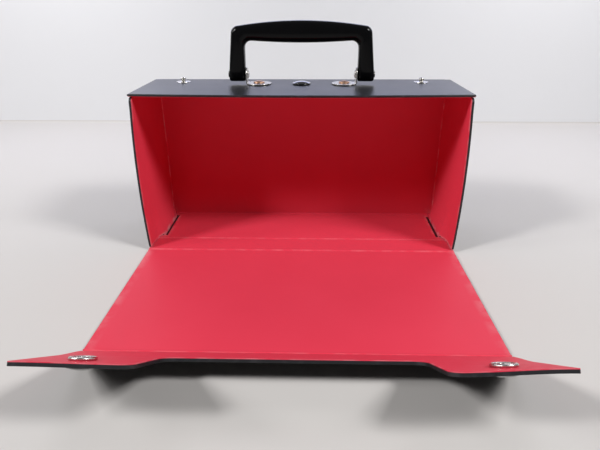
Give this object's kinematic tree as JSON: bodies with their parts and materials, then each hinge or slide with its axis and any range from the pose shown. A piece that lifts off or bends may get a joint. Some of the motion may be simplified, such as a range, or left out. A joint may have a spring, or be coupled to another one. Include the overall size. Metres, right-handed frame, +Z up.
{
  "type": "carrying case",
  "caption": "Open-fronted folding carrying case of black vinyl board lined in red, with a drop-down front flap, a notched closing lip on press studs and a pivoting handle.",
  "frame": {"origin": "middle of the case underside, on the surface it stands on", "axes": "+X to the right seen from the open front, +Y from the open front to the back, +Z up; the open flap lies towards -Y"},
  "size_m": [0.264, 0.2798, 0.1815],
  "materials": {
    "black_vinyl": "black vinyl-covered board with a fine grain and a satin sheen",
    "red_lining": "red vinyl lining, satin with a fine grain",
    "nickel_plate": "nickel-plated steel, bright",
    "brass": "coppery brass, slightly dulled",
    "black_enamel": "black enamelled steel, glossy",
    "moulded_plastic": "glossy black moulded plastic"
  },
  "bodies": {
    "case": {"back_panel": "black_vinyl", "back_lining": "red_lining", "top_panel": "black_vinyl", "top_lining": "red_lining", "bottom_panel": "black_vinyl", "bottom_lining": "red_lining", "left_side_panel": "black_vinyl", "left_side_lining": "red_lining", "right_side_panel": "black_vinyl", "right_side_lining": "red_lining", "left_snap_stud": "nickel_plate", "right_snap_stud": "nickel_plate", "left_stud_eyelet": "nickel_plate", "right_stud_eyelet": "nickel_plate", "centre_cap": "black_enamel", "centre_cap_washer": "nickel_plate", "left_handle_bracket": "nickel_plate", "right_handle_bracket": "nickel_plate", "left_bracket_rivet": "brass", "right_bracket_rivet": "brass", "left_rivet_washer": "nickel_plate", "right_rivet_washer": "nickel_plate", "left_pivot_pin": "nickel_plate", "right_pivot_pin": "nickel_plate"},
    "flap": {"front_flap": "black_vinyl", "front_flap_lining": "red_lining"},
    "lip": {"closing_lip": "black_vinyl", "closing_lip_lining": "red_lining", "left_snap_socket": "nickel_plate", "right_snap_socket": "nickel_plate", "left_socket_spring": "nickel_plate", "right_socket_spring": "nickel_plate", "left_snap_cap": "black_enamel", "right_snap_cap": "black_enamel"},
    "handle": {"handle": "moulded_plastic"}
  },
  "joints": [
    {"name": "flap_hinge", "type": "hinge", "parent": "case", "child": "flap", "pos_m": [0, -0.0401, 0.0009], "axis": [-1, 0, 0], "range_deg": [0, 90]},
    {"name": "lip_fold", "type": "hinge", "parent": "flap", "child": "lip", "pos_m": [0, -0.1756, 0.0009], "axis": [-1, 0, 0], "range_deg": [-35.5, 54.5]},
    {"name": "handle_pivot", "type": "hinge", "parent": "case", "child": "handle", "pos_m": [0, 0.011, 0.14], "axis": [1, 0, 0], "range_deg": [-85, 75]}
  ]
}
